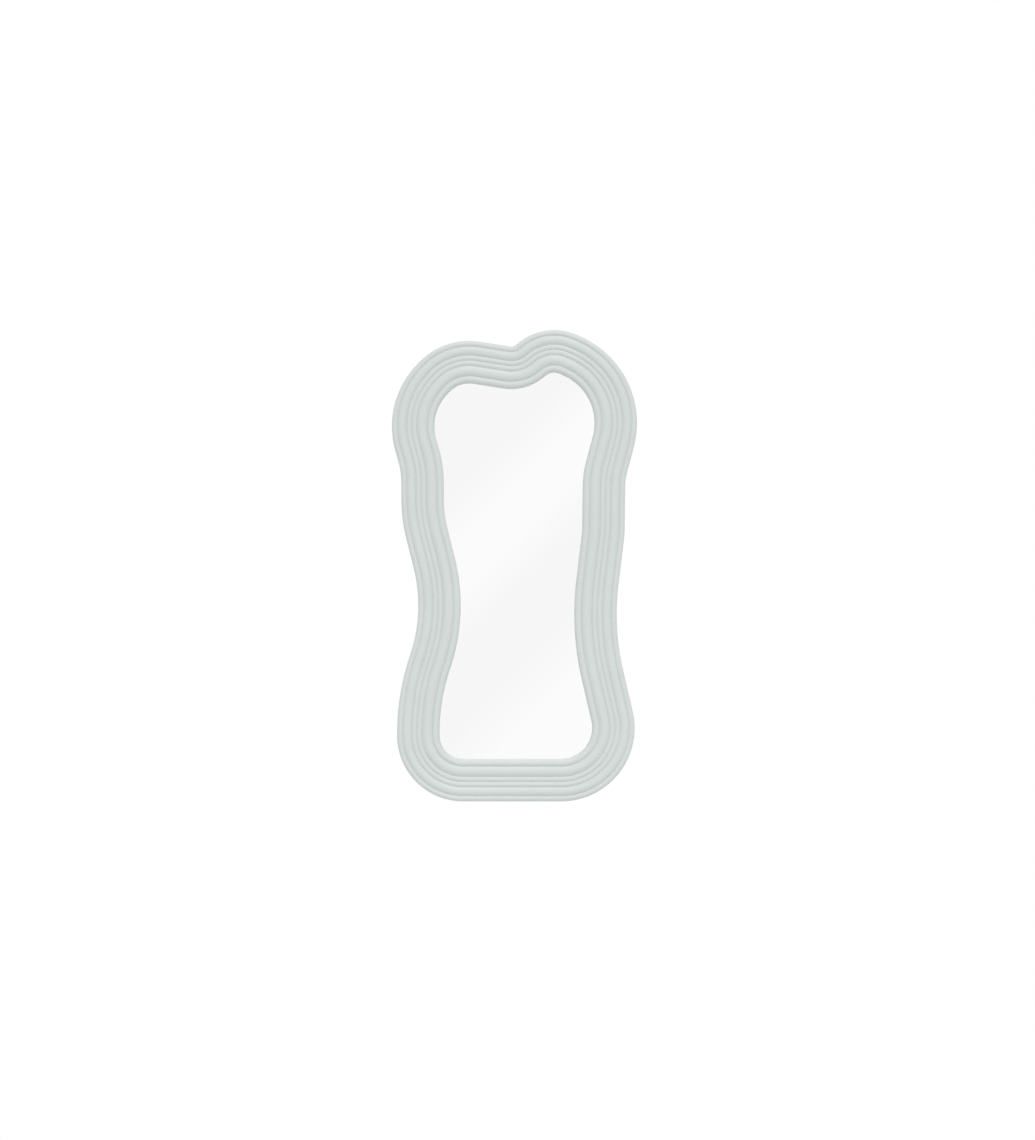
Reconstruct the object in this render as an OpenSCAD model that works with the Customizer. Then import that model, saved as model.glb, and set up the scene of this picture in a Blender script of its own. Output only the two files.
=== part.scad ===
// Wavy wall mirror: a ribbed moulded frame round a silvered glass. A back board screwed into
// the frame's rear recess holds the glass on foam tape, carries two ring hangers, and keeps them
// clear of the wall with four pads.
//
// Every piece is drawn lying on its back, with its outline in X and Y and its heights in Z from
// the wall. upright() then stands it up: +Z is up, +X is to the right seen from the front, the
// glass faces -Y, and the wall is the plane y = 0. The origin is on the wall, under the middle
// of the mirror's lowest edge.

/* [Overall size] */
// Width of the whole mirror
mirror_w = 520; // [450:1:640]
// Height of the whole mirror
mirror_h = 1000; // [880:1:1200]

/* [Ribs of the moulding] */
// Width of the bead at the outer edge
outer_bead_w = 12; // [10:0.5:15]
// Width of the broad rib next to the outer bead
outer_rib_w = 19; // [16:0.5:22]
// Width of each of the two narrow ribs in the middle
narrow_rib_w = 11; // [9:0.5:13]
// Width of the broad rib next to the inner bead
inner_rib_w = 22; // [18:0.5:25]
// Width of the bead round the glass
inner_bead_w = 15; // [12:0.5:18]
// Slope of a rib where it meets a groove, in degrees
rib_slope = 48; // [40:1:56]
// Thickness of the lip in front of the glass, measured at a groove
lip_t = 10; // [9:0.5:14]
// Width of the rear rim, outside the recess of the back board
rim_w = 30; // [26:1:34]
// Chamfer on the rear edge of the rim
rim_chamfer = 1.5; // [0.5:0.5:3]

/* [Glass and back board] */
// Thickness of the silvered glass
glass_t = 4; // [3:0.5:6]
// How far the glass reaches behind the lip
glass_lap = 8; // [5:0.5:12]
// Gap between the glass's edge and the wall of its rebate
glass_gap = 2; // [1:0.5:3]
// Thickness of the foam tape between the glass and the board
tape_t = 1; // [0.8:0.1:2]
// Width of one strip of foam tape
tape_w = 25; // [12:1:40]
// Number of strips of foam tape
tape_count = 5; // [3:1:8]
// Length of each of the two setting blocks that the glass stands on
block_len = 30; // [15:1:50]
// Distance between the middles of the two setting blocks
block_pitch = 130; // [90:1:150]
// Thickness of the back board
board_t = 6; // [4:0.5:9]
// Gap between the back board's edge and the recess in the frame
board_gap = 1; // [0.5:0.5:3]
// How deep the back board's rear face lies inside the frame
recess_d = 9; // [8:0.5:14]

/* [Screws] */
// Diameter of a screw's shank
screw_d = 3.5; // [3:0.1:4.2]
// Diameter of a screw's head
screw_head_d = 7; // [6:0.1:8]
// Length of a screw that holds the back board
board_screw_len = 16; // [13:1:19]
// Length under the head of a screw that holds a hanger
hanger_screw_len = 16; // [12:1:19]
// Height of the round head of a hanger screw
round_head_h = 2.4; // [1.8:0.1:3]
// Clearance of a shank in the hole it passes through, all round
shank_gap = 0.2; // [0.1:0.05:0.5]
// Distance from the frame's outer edge to the line of board screws
screw_inset = 43; // [40:1:50]

/* [Ring hangers] */
// Distance from the frame's side edge to the middle of a hanger
hanger_inset = 56; // [52:1:62]
// Distance from the mirror's top down to the rings' pivots
hanger_drop = 200; // [180:1:220]
// Width of a hanger's strap
strap_w = 16; // [14:0.5:16.5]
// Length of a strap below the ring's pivot
strap_len = 44; // [38:1:50]
// Thickness of the strap's steel
strap_t = 1; // [0.8:0.1:1.5]
// Distance from the pivot to the first screw
first_hole = 13; // [11:1:15]
// Distance between the two screws of a hanger
hole_pitch = 20; // [14:1:22]
// Outside width of the ring
ring_w = 26; // [26:0.5:30]
// Outside height of the ring
ring_h = 24; // [22:0.5:30]
// Diameter of the ring's wire
ring_wire_d = 2.8; // [2.4:0.1:3]
// Radius of the ring's lower corners, at the middle of the wire
ring_corner_r = 3; // [2:0.1:3]
// Clearance between the ring's wire and the strap rolled round it
ring_play = 0.3; // [0.2:0.05:0.5]

/* [Wall pads] */
// Diameter of a wall pad
pad_d = 18; // [12:1:20]
// Thickness of a wall pad
pad_t = 3; // [2:0.5:5]
// Radius of the pad's rounded rear edge
pad_round = 0.8; // [0.3:0.1:1.5]

/* [Hidden] */
$fn = 48;

// Heights from the wall, from the back to the front
rear_z = pad_t;
board_z = rear_z + recess_d;
ledge_z = board_z + board_t;
glass_z = ledge_z + tape_t;
lip_z = glass_z + glass_t;
groove_z = lip_z + lip_t;

// Distances inward from the frame's outer edge
frame_w = outer_bead_w + outer_rib_w + 2 * narrow_rib_w + inner_rib_w + inner_bead_w;
board_edge = rim_w + board_gap;
glass_edge = frame_w - glass_lap;
rebate_edge = glass_edge - glass_gap;

// The outline is a belt drawn round fourteen lobes, anticlockwise from the lower right corner, and
// stretched to the mirror's width and height. A lobe is [across, up, radius at the outer edge]. The
// radius is positive where the edge bulges outwards and negative where it is drawn in.
LOBES = [
    [99, 156, 156], [738, 397, -521], [27, 582, 207], [354, 667, -119], [60, 803, 200],
    [84, 882, 118], [-7, 982, -17], [-96, 829, 148], [-72, 796, 188], [-407, 676, -167],
    [115, 643, 355], [-528, 416, -324], [270, 144, 519], [-109, 140, 140]];
lobe_count = len(LOBES);

// Where the board screws sit: [lobe, share of its turn], and a share above 1 goes on along the
// straight run behind the lobe
SCREW_SPOTS = [[0, 0.15], [0, 0.62], [0, 1.5], [2, 0.5], [3, 0.5], [4, 0.95], [6, 0.5],
    [7, 0.75], [9, 0.4], [10, 0.5], [11, 0.5], [12, 0.5], [13, 0.55]];

// Where the wall pads sit, in the same way: lower right, upper right, upper left, lower left
PAD_SPOTS = [[0, 0.45], [5, 0.3], [7, 0.6], [13, 0.5]];
LOWER_RIGHT = 0;
UPPER_RIGHT = 1;
UPPER_LEFT = 2;
LOWER_LEFT = 3;

// The largest distance between a true arc of the outline and its straight steps
chord_error = 0.35;
// Straight steps in the arc of one rib
rib_steps = 5;
// How near a corner of the outline may come to the end of its arc, in steps
corner_gap = 0.3;
// How far a cutting shape reaches past the faces that it cuts
overcut = 1;

// Radius of a screw's blunt tip, as a share of its shank's
tip_share = 0.25;
// A cross recess: the length and the width of its arms as shares of the head's diameter, its depth
// in a flat head as a share of the shank's diameter, and in a round head as a share of its height
recess_span = 0.55;
recess_slot = 0.13;
flat_recess = 0.35;
round_recess = 0.7;
// How far the lowest and the highest strip of tape keep from the glass's ends, in strip widths
tape_below = 1;
tape_above = 2;

ring_wire_r = ring_wire_d / 2;
loop_bore_r = ring_wire_r + ring_play;
loop_r = loop_bore_r + strap_t;
pivot_z = board_z - loop_r;
pivot_y = mirror_h - hanger_drop;
hanger_x = mirror_w / 2 - hanger_inset;
// Height of the ring's outer arc over the pivot, at the middle of the wire
ring_reach = ring_h - ring_wire_d;
ring_half_w = (ring_w - ring_wire_d) / 2;
// The raised ring leans back until its wire is one ring_play short of the board
ring_lean = asin((loop_r - ring_wire_r - ring_play) / ring_reach);

// The outline

function lobe(i) = LOBES[i % lobe_count];
function centre(i) = [lobe(i)[0], lobe(i)[1]];
function radius(i) = lobe(i)[2];

// The direction in which the belt leaves lobe i, in degrees
function heading(i) =
    let (d = centre(i + 1) - centre(i))
    atan2(d[1], d[0]) - asin((radius(i + 1) - radius(i)) / norm(d));

function wrap(angle) = angle > 180 ? wrap(angle - 360) : angle <= -180 ? wrap(angle + 360) : angle;

// The direction in which the belt comes to lobe i, and how far it turns there
function start(i) = heading(i + lobe_count - 1);
function turn(i) = wrap(heading(i) - start(i));

// A step of the turn that divides a right angle evenly, so that the outline meets its box
function turn_step(i) =
    let (reach = max(abs(radius(i)), abs(radius(i) - frame_w)))
    90 / ceil(90 / (2 * acos(1 - chord_error / reach)));

// The headings inside lobe i's turn at which the outline has a corner
function inner_headings(i) =
    let (step = turn_step(i), a = start(i), b = a + turn(i), low = min(a, b), high = max(a, b),
        list = [for (k = [ceil(low / step + corner_gap) : floor(high / step - corner_gap)]) k * step])
    turn(i) > 0 ? list : [for (k = [len(list) - 1 : -1 : 0]) list[k]];

// All stations of the outline, as [lobe, heading]
STATIONS = [for (i = [0 : lobe_count - 1])
    for (h = concat([start(i)], inner_headings(i), [start(i) + turn(i)])) [i, h]];

// The outer edge as drawn, and how it is stretched to the mirror's size
function drawn(i, h) = centre(i) + radius(i) * [sin(h), -cos(h)];
drawn_x = [for (s = STATIONS) drawn(s[0], s[1])[0]];
drawn_y = [for (s = STATIONS) drawn(s[0], s[1])[1]];
drawn_base = [(min(drawn_x) + max(drawn_x)) / 2, min(drawn_y)];
stretch = [mirror_w / (max(drawn_x) - min(drawn_x)), mirror_h / (max(drawn_y) - min(drawn_y))];

// The outward normal of the stretched outline at a heading
function normal(h) =
    let (n = [sin(h) / stretch[0], -cos(h) / stretch[1]])
    n / norm(n);

// The point at a distance w inward from the outer edge
function at(i, h, w) =
    let (p = drawn(i, h) - drawn_base)
    [p[0] * stretch[0], p[1] * stretch[1]] - w * normal(h);

function outline(w) = [for (s = STATIONS) at(s[0], s[1], w)];

// The point at a spot, given as in SCREW_SPOTS
function spot(s, w) =
    let (i = s[0], from = at(i, start(i) + turn(i) * min(1, s[1]), w), to = at(i + 1, start(i + 1), w))
    from + max(0, s[1] - 1) * (to - from);

// The section of the moulding, as [distance inward, height from the wall]

// A rib's arc between two slopes, starting at a distance w inward
function rib(w, width, from, to) =
    let (r = width / (sin(to) - sin(from)), steps = ceil(rib_steps * (to - from) / (2 * rib_slope)))
    [for (k = [0 : steps]) let (a = from + (to - from) * k / steps)
        [w + r * (sin(a) - sin(from)), groove_z + r * (cos(a) - cos(rib_slope))]];

function ribs() =
    let (w1 = outer_bead_w, w2 = w1 + outer_rib_w, w3 = w2 + narrow_rib_w, w4 = w3 + narrow_rib_w,
        w5 = w4 + inner_rib_w)
    concat(rib(0, outer_bead_w, -90, rib_slope), tail(rib(w1, outer_rib_w, -rib_slope, rib_slope)),
        tail(rib(w2, narrow_rib_w, -rib_slope, rib_slope)),
        tail(rib(w3, narrow_rib_w, -rib_slope, rib_slope)),
        tail(rib(w4, inner_rib_w, -rib_slope, rib_slope)),
        tail(rib(w5, inner_bead_w, -rib_slope, 90)));

// A list without its first entry, which the list before it already ends with
function tail(list) = [for (k = [1 : len(list) - 1]) list[k]];

function section() = concat(ribs(), [
    [frame_w, lip_z],
    [rebate_edge, lip_z],
    [rebate_edge, ledge_z],
    [rim_w, ledge_z],
    [rim_w, rear_z],
    [rim_chamfer, rear_z],
    [0, rear_z + rim_chamfer]]);

// Stands up what is drawn lying on its back
module upright() {
    rotate([90, 0, 0]) children();
}

// A flat plate with the mirror's outline, w inward from the frame's outer edge
module plate(w, z, t) {
    translate([0, 0, z]) linear_extrude(t) polygon(outline(w));
}

// The section swept along the outline as one closed skin
module swept_section() {
    shape = section();
    m = len(shape);
    n = len(STATIONS);
    points = [for (s = STATIONS) for (p = shape) [each at(s[0], s[1], p[0]), p[1]]];
    faces = [for (j = [0 : n - 1]) for (k = [0 : m - 1])
        [j * m + k, j * m + (k + 1) % m, (j + 1) % n * m + (k + 1) % m, (j + 1) % n * m + k]];
    polyhedron(points, faces, convexity = 12);
}

// A pilot hole or a shank: a cylinder from height z up to a short cone of the same radius
module pointed_rod(r, z, len) {
    translate([0, 0, z]) cylinder(r = r, h = len - r);
    translate([0, 0, z + len - r]) cylinder(r1 = r, r2 = r * tip_share, h = r);
}

// The two screws of a hanger
module at_hanger_holes(side) {
    for (k = [0, 1]) translate([side * hanger_x, pivot_y - first_hole - k * hole_pitch, 0]) children();
}

module at_board_screws() {
    for (s = SCREW_SPOTS) translate(spot(s, screw_inset)) children();
}

// The cross recess of a screw, cut into a head whose top is at height z
module cross_recess(z, depth) {
    arm = screw_head_d * recess_span;
    slot = screw_head_d * recess_slot;
    for (a = [0, 90]) rotate(a) translate([-arm / 2, -slot / 2, z]) cube([arm, slot, depth]);
}

module frame_moulding() {
    color("#d3dad8") upright() difference() {
        swept_section();
        at_board_screws() pointed_rod(screw_d / 2, board_z, board_screw_len);
        for (side = [-1, 1]) at_hanger_holes(side)
            pointed_rod(screw_d / 2, board_z - strap_t, hanger_screw_len);
    }
}

module mirror_glass() {
    color("#eef1f1") upright() plate(glass_edge, glass_z, glass_t);
}

// The two blocks fill the gap under the glass's straight lower edge
module setting_blocks() {
    color("#3b3d3e") upright() for (side = [-1, 1])
        translate([side * block_pitch / 2 - block_len / 2, rebate_edge, glass_z])
            cube([block_len, glass_gap, glass_t]);
}

module foam_tape() {
    inset = glass_edge + tape_below * tape_w;
    high = mirror_h - glass_edge - (tape_above + 1) * tape_w;
    color("#f2f2ee") upright() intersection() {
        plate(inset, ledge_z, tape_t);
        for (k = [0 : tape_count - 1])
            translate([-mirror_w / 2, inset + (high - inset) * k / (tape_count - 1), ledge_z])
                cube([mirror_w, tape_w, tape_t]);
    }
}

module back_board() {
    color("#a8875f") upright() difference() {
        plate(board_edge, board_z, board_t);
        at_board_screws() {
            translate([0, 0, board_z]) cylinder(r = screw_d / 2 + shank_gap, h = board_t);
            countersink();
        }
        for (side = [-1, 1]) at_hanger_holes(side)
            translate([0, 0, board_z]) cylinder(d = screw_d, h = board_t);
    }
}

// The flat head of a board screw, a cone that narrows at 45 degrees
module countersink() {
    translate([0, 0, board_z])
        cylinder(d1 = screw_head_d, d2 = screw_d, h = (screw_head_d - screw_d) / 2);
}

module board_screws() {
    color("#c9ccce") upright() at_board_screws() difference() {
        union() {
            countersink();
            pointed_rod(screw_d / 2, board_z, board_screw_len);
        }
        cross_recess(board_z, screw_d * flat_recess);
    }
}

// The strap lies on the board with its end rolled into a loop round the ring's straight side
module hanger_strap(side) {
    color("#c4c7ca") upright() translate([side * hanger_x, pivot_y, pivot_z]) difference() {
        union() {
            rotate([0, 90, 0]) cylinder(r = loop_r, h = strap_w, center = true);
            translate([-strap_w / 2, -(strap_len - strap_w / 2), loop_r - strap_t])
                cube([strap_w, strap_len - strap_w / 2, strap_t]);
            translate([0, -(strap_len - strap_w / 2), loop_r - strap_t]) cylinder(d = strap_w, h = strap_t);
        }
        rotate([0, 90, 0]) cylinder(r = loop_bore_r, h = strap_w + 2 * overcut, center = true);
        for (k = [0, 1]) translate([0, -first_hole - k * hole_pitch, loop_r - strap_t - overcut])
            cylinder(r = screw_d / 2 + shank_gap, h = strap_t + 2 * overcut);
    }
}

// The ring: a straight side in the loop, two rounded corners, two sides and a half circle
module hanger_ring(side) {
    c = ring_corner_r;
    r = ring_half_w;
    color("#b9bdc1") upright() translate([side * hanger_x, pivot_y, pivot_z]) rotate([ring_lean, 0, 0]) {
        rotate([0, 90, 0]) cylinder(r = ring_wire_r, h = 2 * (r - c), center = true);
        for (x = [-1, 1]) {
            translate([x * (r - c), c, 0]) rotate(x < 0 ? 180 : 270)
                rotate_extrude(angle = 90) translate([c, 0]) circle(ring_wire_r);
            translate([x * r, c, 0]) rotate([-90, 0, 0]) cylinder(r = ring_wire_r, h = ring_reach - r - c);
        }
        translate([0, ring_reach - r, 0]) rotate_extrude(angle = 180) translate([r, 0]) circle(ring_wire_r);
    }
}

module hanger_screws(side) {
    top = board_z - strap_t;
    dome_r = (pow(screw_head_d / 2, 2) + pow(round_head_h, 2)) / (2 * round_head_h);
    color("#c9ccce") upright() at_hanger_holes(side) difference() {
        union() {
            intersection() {
                translate([0, 0, top - round_head_h + dome_r]) sphere(dome_r);
                translate([0, 0, top - round_head_h]) cylinder(d = screw_head_d, h = round_head_h);
            }
            pointed_rod(screw_d / 2, top, hanger_screw_len);
        }
        cross_recess(top - round_head_h, round_head_h * round_recess);
    }
}

// A pad on the rear rim, with a rounded edge towards the wall
module wall_pad(place) {
    color("#4a4c4d") upright() translate(spot(PAD_SPOTS[place], rim_w / 2)) rotate_extrude() {
        translate([0, pad_round]) square([pad_d / 2, pad_t - pad_round]);
        square([pad_d / 2 - pad_round, pad_t]);
        intersection() {
            translate([pad_d / 2 - pad_round, pad_round]) circle(pad_round);
            square([pad_d / 2, pad_t]);
        }
    }
}

frame_moulding();
mirror_glass();
setting_blocks();
foam_tape();
back_board();
board_screws();
hanger_strap(-1);  // hanger_strap_left
hanger_strap(1);  // hanger_strap_right
hanger_ring(-1);  // hanger_ring_left
hanger_ring(1);  // hanger_ring_right
hanger_screws(-1);  // hanger_screws_left
hanger_screws(1);  // hanger_screws_right
wall_pad(LOWER_LEFT);  // wall_pad_lower_left
wall_pad(LOWER_RIGHT);  // wall_pad_lower_right
wall_pad(UPPER_LEFT);  // wall_pad_upper_left
wall_pad(UPPER_RIGHT);  // wall_pad_upper_right
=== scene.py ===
"""The looks of a wavy wall mirror: a ribbed, painted moulding round a silvered glass.

The mirror hangs on a wall whose face is the plane y = 0. Its glass faces -Y, +Z is up and +X is
to the right seen from the front. Lengths are in metres, and the driving sizes are written in
millimetres times MM. Levels that the construction model already has are read from its parts in
model.glb.
"""

import logging
import math
from collections.abc import Callable, Iterable
from dataclasses import dataclass, field, replace
from enum import Enum
from functools import cached_property, reduce
from itertools import accumulate

import bpy
from bpy.types import (
    ColorRamp, Light, Material, MeshPolygon, MeshVertex, Node, NodeSocket, Object, World)
from mathutils import Color, Matrix, Vector


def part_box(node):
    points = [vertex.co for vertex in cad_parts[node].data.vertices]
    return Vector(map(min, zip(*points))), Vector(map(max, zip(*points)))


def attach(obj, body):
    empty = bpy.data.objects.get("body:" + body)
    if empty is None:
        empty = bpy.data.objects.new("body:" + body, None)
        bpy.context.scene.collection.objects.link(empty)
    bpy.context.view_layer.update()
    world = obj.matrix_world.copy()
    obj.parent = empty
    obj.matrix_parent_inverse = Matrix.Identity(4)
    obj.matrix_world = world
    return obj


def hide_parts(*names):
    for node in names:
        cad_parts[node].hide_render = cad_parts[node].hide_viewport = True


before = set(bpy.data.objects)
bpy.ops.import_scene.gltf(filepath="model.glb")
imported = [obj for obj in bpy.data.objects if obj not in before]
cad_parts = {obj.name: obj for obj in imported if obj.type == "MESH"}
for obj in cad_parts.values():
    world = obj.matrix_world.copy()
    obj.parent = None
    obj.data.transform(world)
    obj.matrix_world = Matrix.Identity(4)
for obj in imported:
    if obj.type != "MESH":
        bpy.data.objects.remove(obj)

log = logging.getLogger("wall_mirror")

MM = 0.001
MIRROR_BODY = "mirror"
MERGE_GAP = 0.002 * MM
SMOOTH_ANGLE = 35.0
QUARTER = 90.0
FULL_LEVEL = 255

RIGHT = Vector((1.0, 0.0, 0.0))
FRONT = Vector((0.0, -1.0, 0.0))
BACK = Vector((0.0, 1.0, 0.0))
UP = Vector((0.0, 0.0, 1.0))
CENTRE = Vector((0.0, 0.0, 0.0))

# The distance inward from the frame's outer edge, as the moulding's vertices carry it
INWARD = "inward"
# The value that noise varies about
MIDDLE = 0.5
# The strength at which a white light shows as plain white
PLAIN = 1.0
# A Mix node's sockets for colours, whose names its sockets for numbers share
MIX_SHARE, MIX_FIRST, MIX_SECOND, MIX_RESULT = 0, 6, 7, 2

Colour = tuple[float, float, float, float]
Span = tuple[float, float]
FaceTest = Callable[[MeshPolygon], bool]
VertexTest = Callable[[MeshVertex], bool]

WHITE: Colour = (1.0, 1.0, 1.0, 1.0)


def srgb(red: int, green: int, blue: int) -> Colour:
    """Turn a colour written in levels of 0 to 255 into the linear colour that shaders use."""
    written = Color([level / FULL_LEVEL for level in (red, green, blue)])
    return (*written.from_srgb_to_scene_linear(), 1.0)


@dataclass(frozen=True)
class Grain:
    """One layer of noise: the size of a cloud in metres, its finer layers, and how it is drawn out.

    The stretch says how many times longer a cloud is along X, Y and Z, and the turn then turns the
    clouds about Y, in degrees.
    """

    wave: float
    detail: float = 2.0
    rough: float = 0.5
    stretch: tuple[float, float, float] = (1.0, 1.0, 1.0)
    turn: float = 0.0


def maths(operation: str, swapped: bool = False) -> "Callable[..., Reading]":
    """Make the method of a reading that adds one Math node.

    Args:
        operation: The node's operation.
        swapped: Whether the other value comes first.

    Returns:
        The method.
    """

    def method(reading: "Reading", *others: "Reading | float") -> "Reading":
        """Add the node, fill its inputs in order and read its result."""
        values = (*others, reading) if swapped else (reading, *others)
        return reading.shader.read(0, "Math", dict(enumerate(values)), operation=operation)

    return method


class Reading:
    """A number that varies over a surface. Arithmetic on it adds Math nodes."""

    def __init__(self, shader: "Shader", socket: NodeSocket) -> None:
        """Keep the socket and the shader that it belongs to."""
        self.shader, self.socket = shader, socket

    __add__ = __radd__ = maths("ADD")
    __sub__, __rsub__ = maths("SUBTRACT"), maths("SUBTRACT", swapped=True)
    __mul__ = __rmul__ = maths("MULTIPLY")
    __truediv__, __rtruediv__ = maths("DIVIDE"), maths("DIVIDE", swapped=True)
    __abs__, root = maths("ABSOLUTE"), maths("SQRT")
    least, most = maths("MINIMUM"), maths("MAXIMUM")

    def clamped(self) -> "Reading":
        """This, held between 0 and 1."""
        return self.least(1.0).most(0.0)

    def sway(self, reach: float) -> "Reading":
        """Noise moved so that it sways to both sides of 0, by up to half the reach."""
        return (self - MIDDLE) * reach

    def step(self, low: float, high: float) -> "Reading":
        """Rise smoothly from 0 where this is low to 1 where it is high, which may be the smaller."""
        share = ((self - low) / (high - low)).clamped()
        return share * share * (3.0 - 2.0 * share)


class Shader:
    """The node tree of one material, or of the world."""

    def __init__(self, owner: Material | World) -> None:
        """Give the owner an empty node tree.

        Args:
            owner: The material or the world.
        """
        owner.use_nodes = True
        self.owner = owner
        self.nodes, self.links = owner.node_tree.nodes, owner.node_tree.links
        self.nodes.clear()

    @classmethod
    def named(cls, name: str) -> "Shader":
        """Start a new material of that name."""
        return cls(bpy.data.materials.new(name))

    def add(self, kind: str, values: dict[str | int, object] | None = None, **settings: object) -> Node:
        """Add a node, set it up, then fill or link its sockets.

        Args:
            kind: The node's type, without the word ShaderNode.
            values: What each input gets: a reading, a socket to link, or a constant.
            settings: Properties to set first. With stops, a ramp gets its (place, colour) stops.

        Returns:
            The new node.
        """
        node = self.nodes.new(f"ShaderNode{kind}")
        for name, value in settings.items():
            if name == "stops":
                self._set_stops(node.color_ramp, value)
            else:
                setattr(node, name, value)
        for name, value in (values or {}).items():
            source = value.socket if isinstance(value, Reading) else value
            if isinstance(source, NodeSocket):
                self.links.new(source, node.inputs[name])
            else:
                node.inputs[name].default_value = source
        return node

    @staticmethod
    def _set_stops(ramp: ColorRamp, stops: list[tuple[float, Colour]]) -> None:
        """Give a colour ramp its stops.

        Args:
            ramp: The ramp.
            stops: Each stop's place, from 0 to 1 in rising order, and its colour.
        """
        while len(ramp.elements) < len(stops):
            ramp.elements.new(1.0)
        for element, (place, colour) in zip(ramp.elements, stops):
            element.position, element.color = place, colour

    def read(self, output: str | int, kind: str, values: dict[str | int, object] | None = None,
             **settings: object) -> Reading:
        """Add a node, as add does, and read one of its outputs."""
        return Reading(self, self.add(kind, values, **settings).outputs[output])

    @cached_property
    def place(self) -> NodeSocket:
        """The place on the object, in metres."""
        return self.add("TexCoord").outputs["Object"]

    def _part(self, vector: NodeSocket, name: str) -> Reading:
        """One part of a vector: X, Y or Z."""
        return self.read(name, "SeparateXYZ", {0: vector})

    def axis(self, name: str) -> Reading:
        """Distance along the object's own X, Y or Z, in metres."""
        return self._part(self.place, name)

    def facing(self, name: str) -> Reading:
        """How far the surface's true normal points along X, Y or Z, from -1 to 1."""
        return self._part(self.add("NewGeometry").outputs["True Normal"], name)

    def marked(self, name: str) -> Reading:
        """A number that the mesh carries at its vertices."""
        return self.read("Fac", "Attribute", attribute_name=name)

    def noise(self, grain: Grain) -> Reading:
        """Cloudy noise.

        Args:
            grain: Its size and shape.

        Returns:
            The noise, from 0 to 1.
        """
        drawn = self.add("Mapping", {
            "Vector": self.place, "Rotation": BACK * math.radians(grain.turn), "Scale": grain.stretch,
        }, vector_type="TEXTURE")
        return self.read(0, "TexNoise", {
            "Vector": drawn.outputs[0], "Scale": 1.0 / grain.wave, "Detail": grain.detail,
            "Roughness": grain.rough,
        })

    def cells(self, wave: float) -> Reading:
        """Distance to the nearest of many scattered points that lie about a wave apart, in waves."""
        return self.read("Distance", "TexVoronoi", {"Vector": self.place, "Scale": 1.0 / wave})

    def blend(self, first: object, second: object, share: Reading) -> NodeSocket:
        """Mix two colours, with the second's share."""
        values = {MIX_SHARE: share, MIX_FIRST: first, MIX_SECOND: second}
        return self.add("Mix", values, data_type="RGBA").outputs[MIX_RESULT]

    def bump(self, height: Reading, depth: float) -> NodeSocket:
        """A normal bent by a height from 0 to 1, where 1 measures the depth in metres."""
        return self.add("Bump", {"Height": height, "Distance": depth}).outputs[0]

    def mix(self, first: Node, second: Node, share: Reading) -> Node:
        """Mix two surfaces, with the second's share."""
        return self.add("MixShader", {0: share, 1: first.outputs[0], 2: second.outputs[0]})

    def output(self, surface: Node, kind: str = "OutputMaterial") -> None:
        """Link the last node to the tree's output."""
        self.add(kind, {"Surface": surface.outputs[0]})

    def finish(self, **values: object) -> Material:
        """Add the surface shader and link it to the output.

        Args:
            values: The surface shader's inputs, with underscores in place of spaces.

        Returns:
            The finished material.
        """
        inputs = {name.replace("_", " "): value for name, value in values.items()}
        self.output(self.add("BsdfPrincipled", inputs))
        return self.owner


@dataclass(frozen=True)
class SatinPaint:
    """Pale grey-green satin paint, sprayed on the moulding's face and sides."""

    grooves: tuple[float, ...]
    tint: Colour = srgb(213, 219, 217)
    # The darker tone, mixed in for the random clouding and as painted shade in the grooves
    shade: Colour = srgb(200, 208, 205)
    shade_share: float = 0.15
    cloud: Grain = Grain(90.0 * MM, 3.0, 0.55)
    cloud_shade: float = 0.5
    cloud_gloss: float = 0.14
    groove_reach: float = 1.3 * MM
    # How much of the darker tone is painted into the grooves as painted shade
    painted_groove_shade: float = 0.35
    groove_gloss: float = 0.06
    peel: Grain = Grain(2.6 * MM, 1.0)
    peel_depth: float = 0.05 * MM
    mist: Grain = Grain(0.35 * MM)
    mist_depth: float = 0.008 * MM
    mist_gloss: float = 0.06
    roughness: float = 0.46

    def material(self) -> Material:
        """Paint with painted shade towards the bottom of each groove, and faint orange peel.

        Returns:
            The material.
        """
        shader = Shader.named("satin_paint")
        cloud, peel, mist = map(shader.noise, (self.cloud, self.peel, self.mist))
        inward = shader.marked(INWARD)
        nearest = reduce(Reading.least, [abs(inward - groove) for groove in self.grooves])
        # Painted shade: the darker tone is mixed in towards each groove's bottom, where shade falls;
        # the same mask also raises the roughness there
        hollow = nearest.step(self.groove_reach, 0.0)
        shade = (self.shade_share + hollow * self.painted_groove_shade + cloud.sway(self.cloud_shade)).clamped()
        gloss = cloud.sway(self.cloud_gloss) + mist.sway(self.mist_gloss) + hollow * self.groove_gloss
        mist_share = self.mist_depth / self.peel_depth
        return shader.finish(
            Base_Color=shader.blend(self.tint, self.shade, shade),
            Roughness=self.roughness + gloss,
            Normal=shader.bump(peel * (1.0 - mist_share) + mist * mist_share, self.peel_depth))


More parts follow.
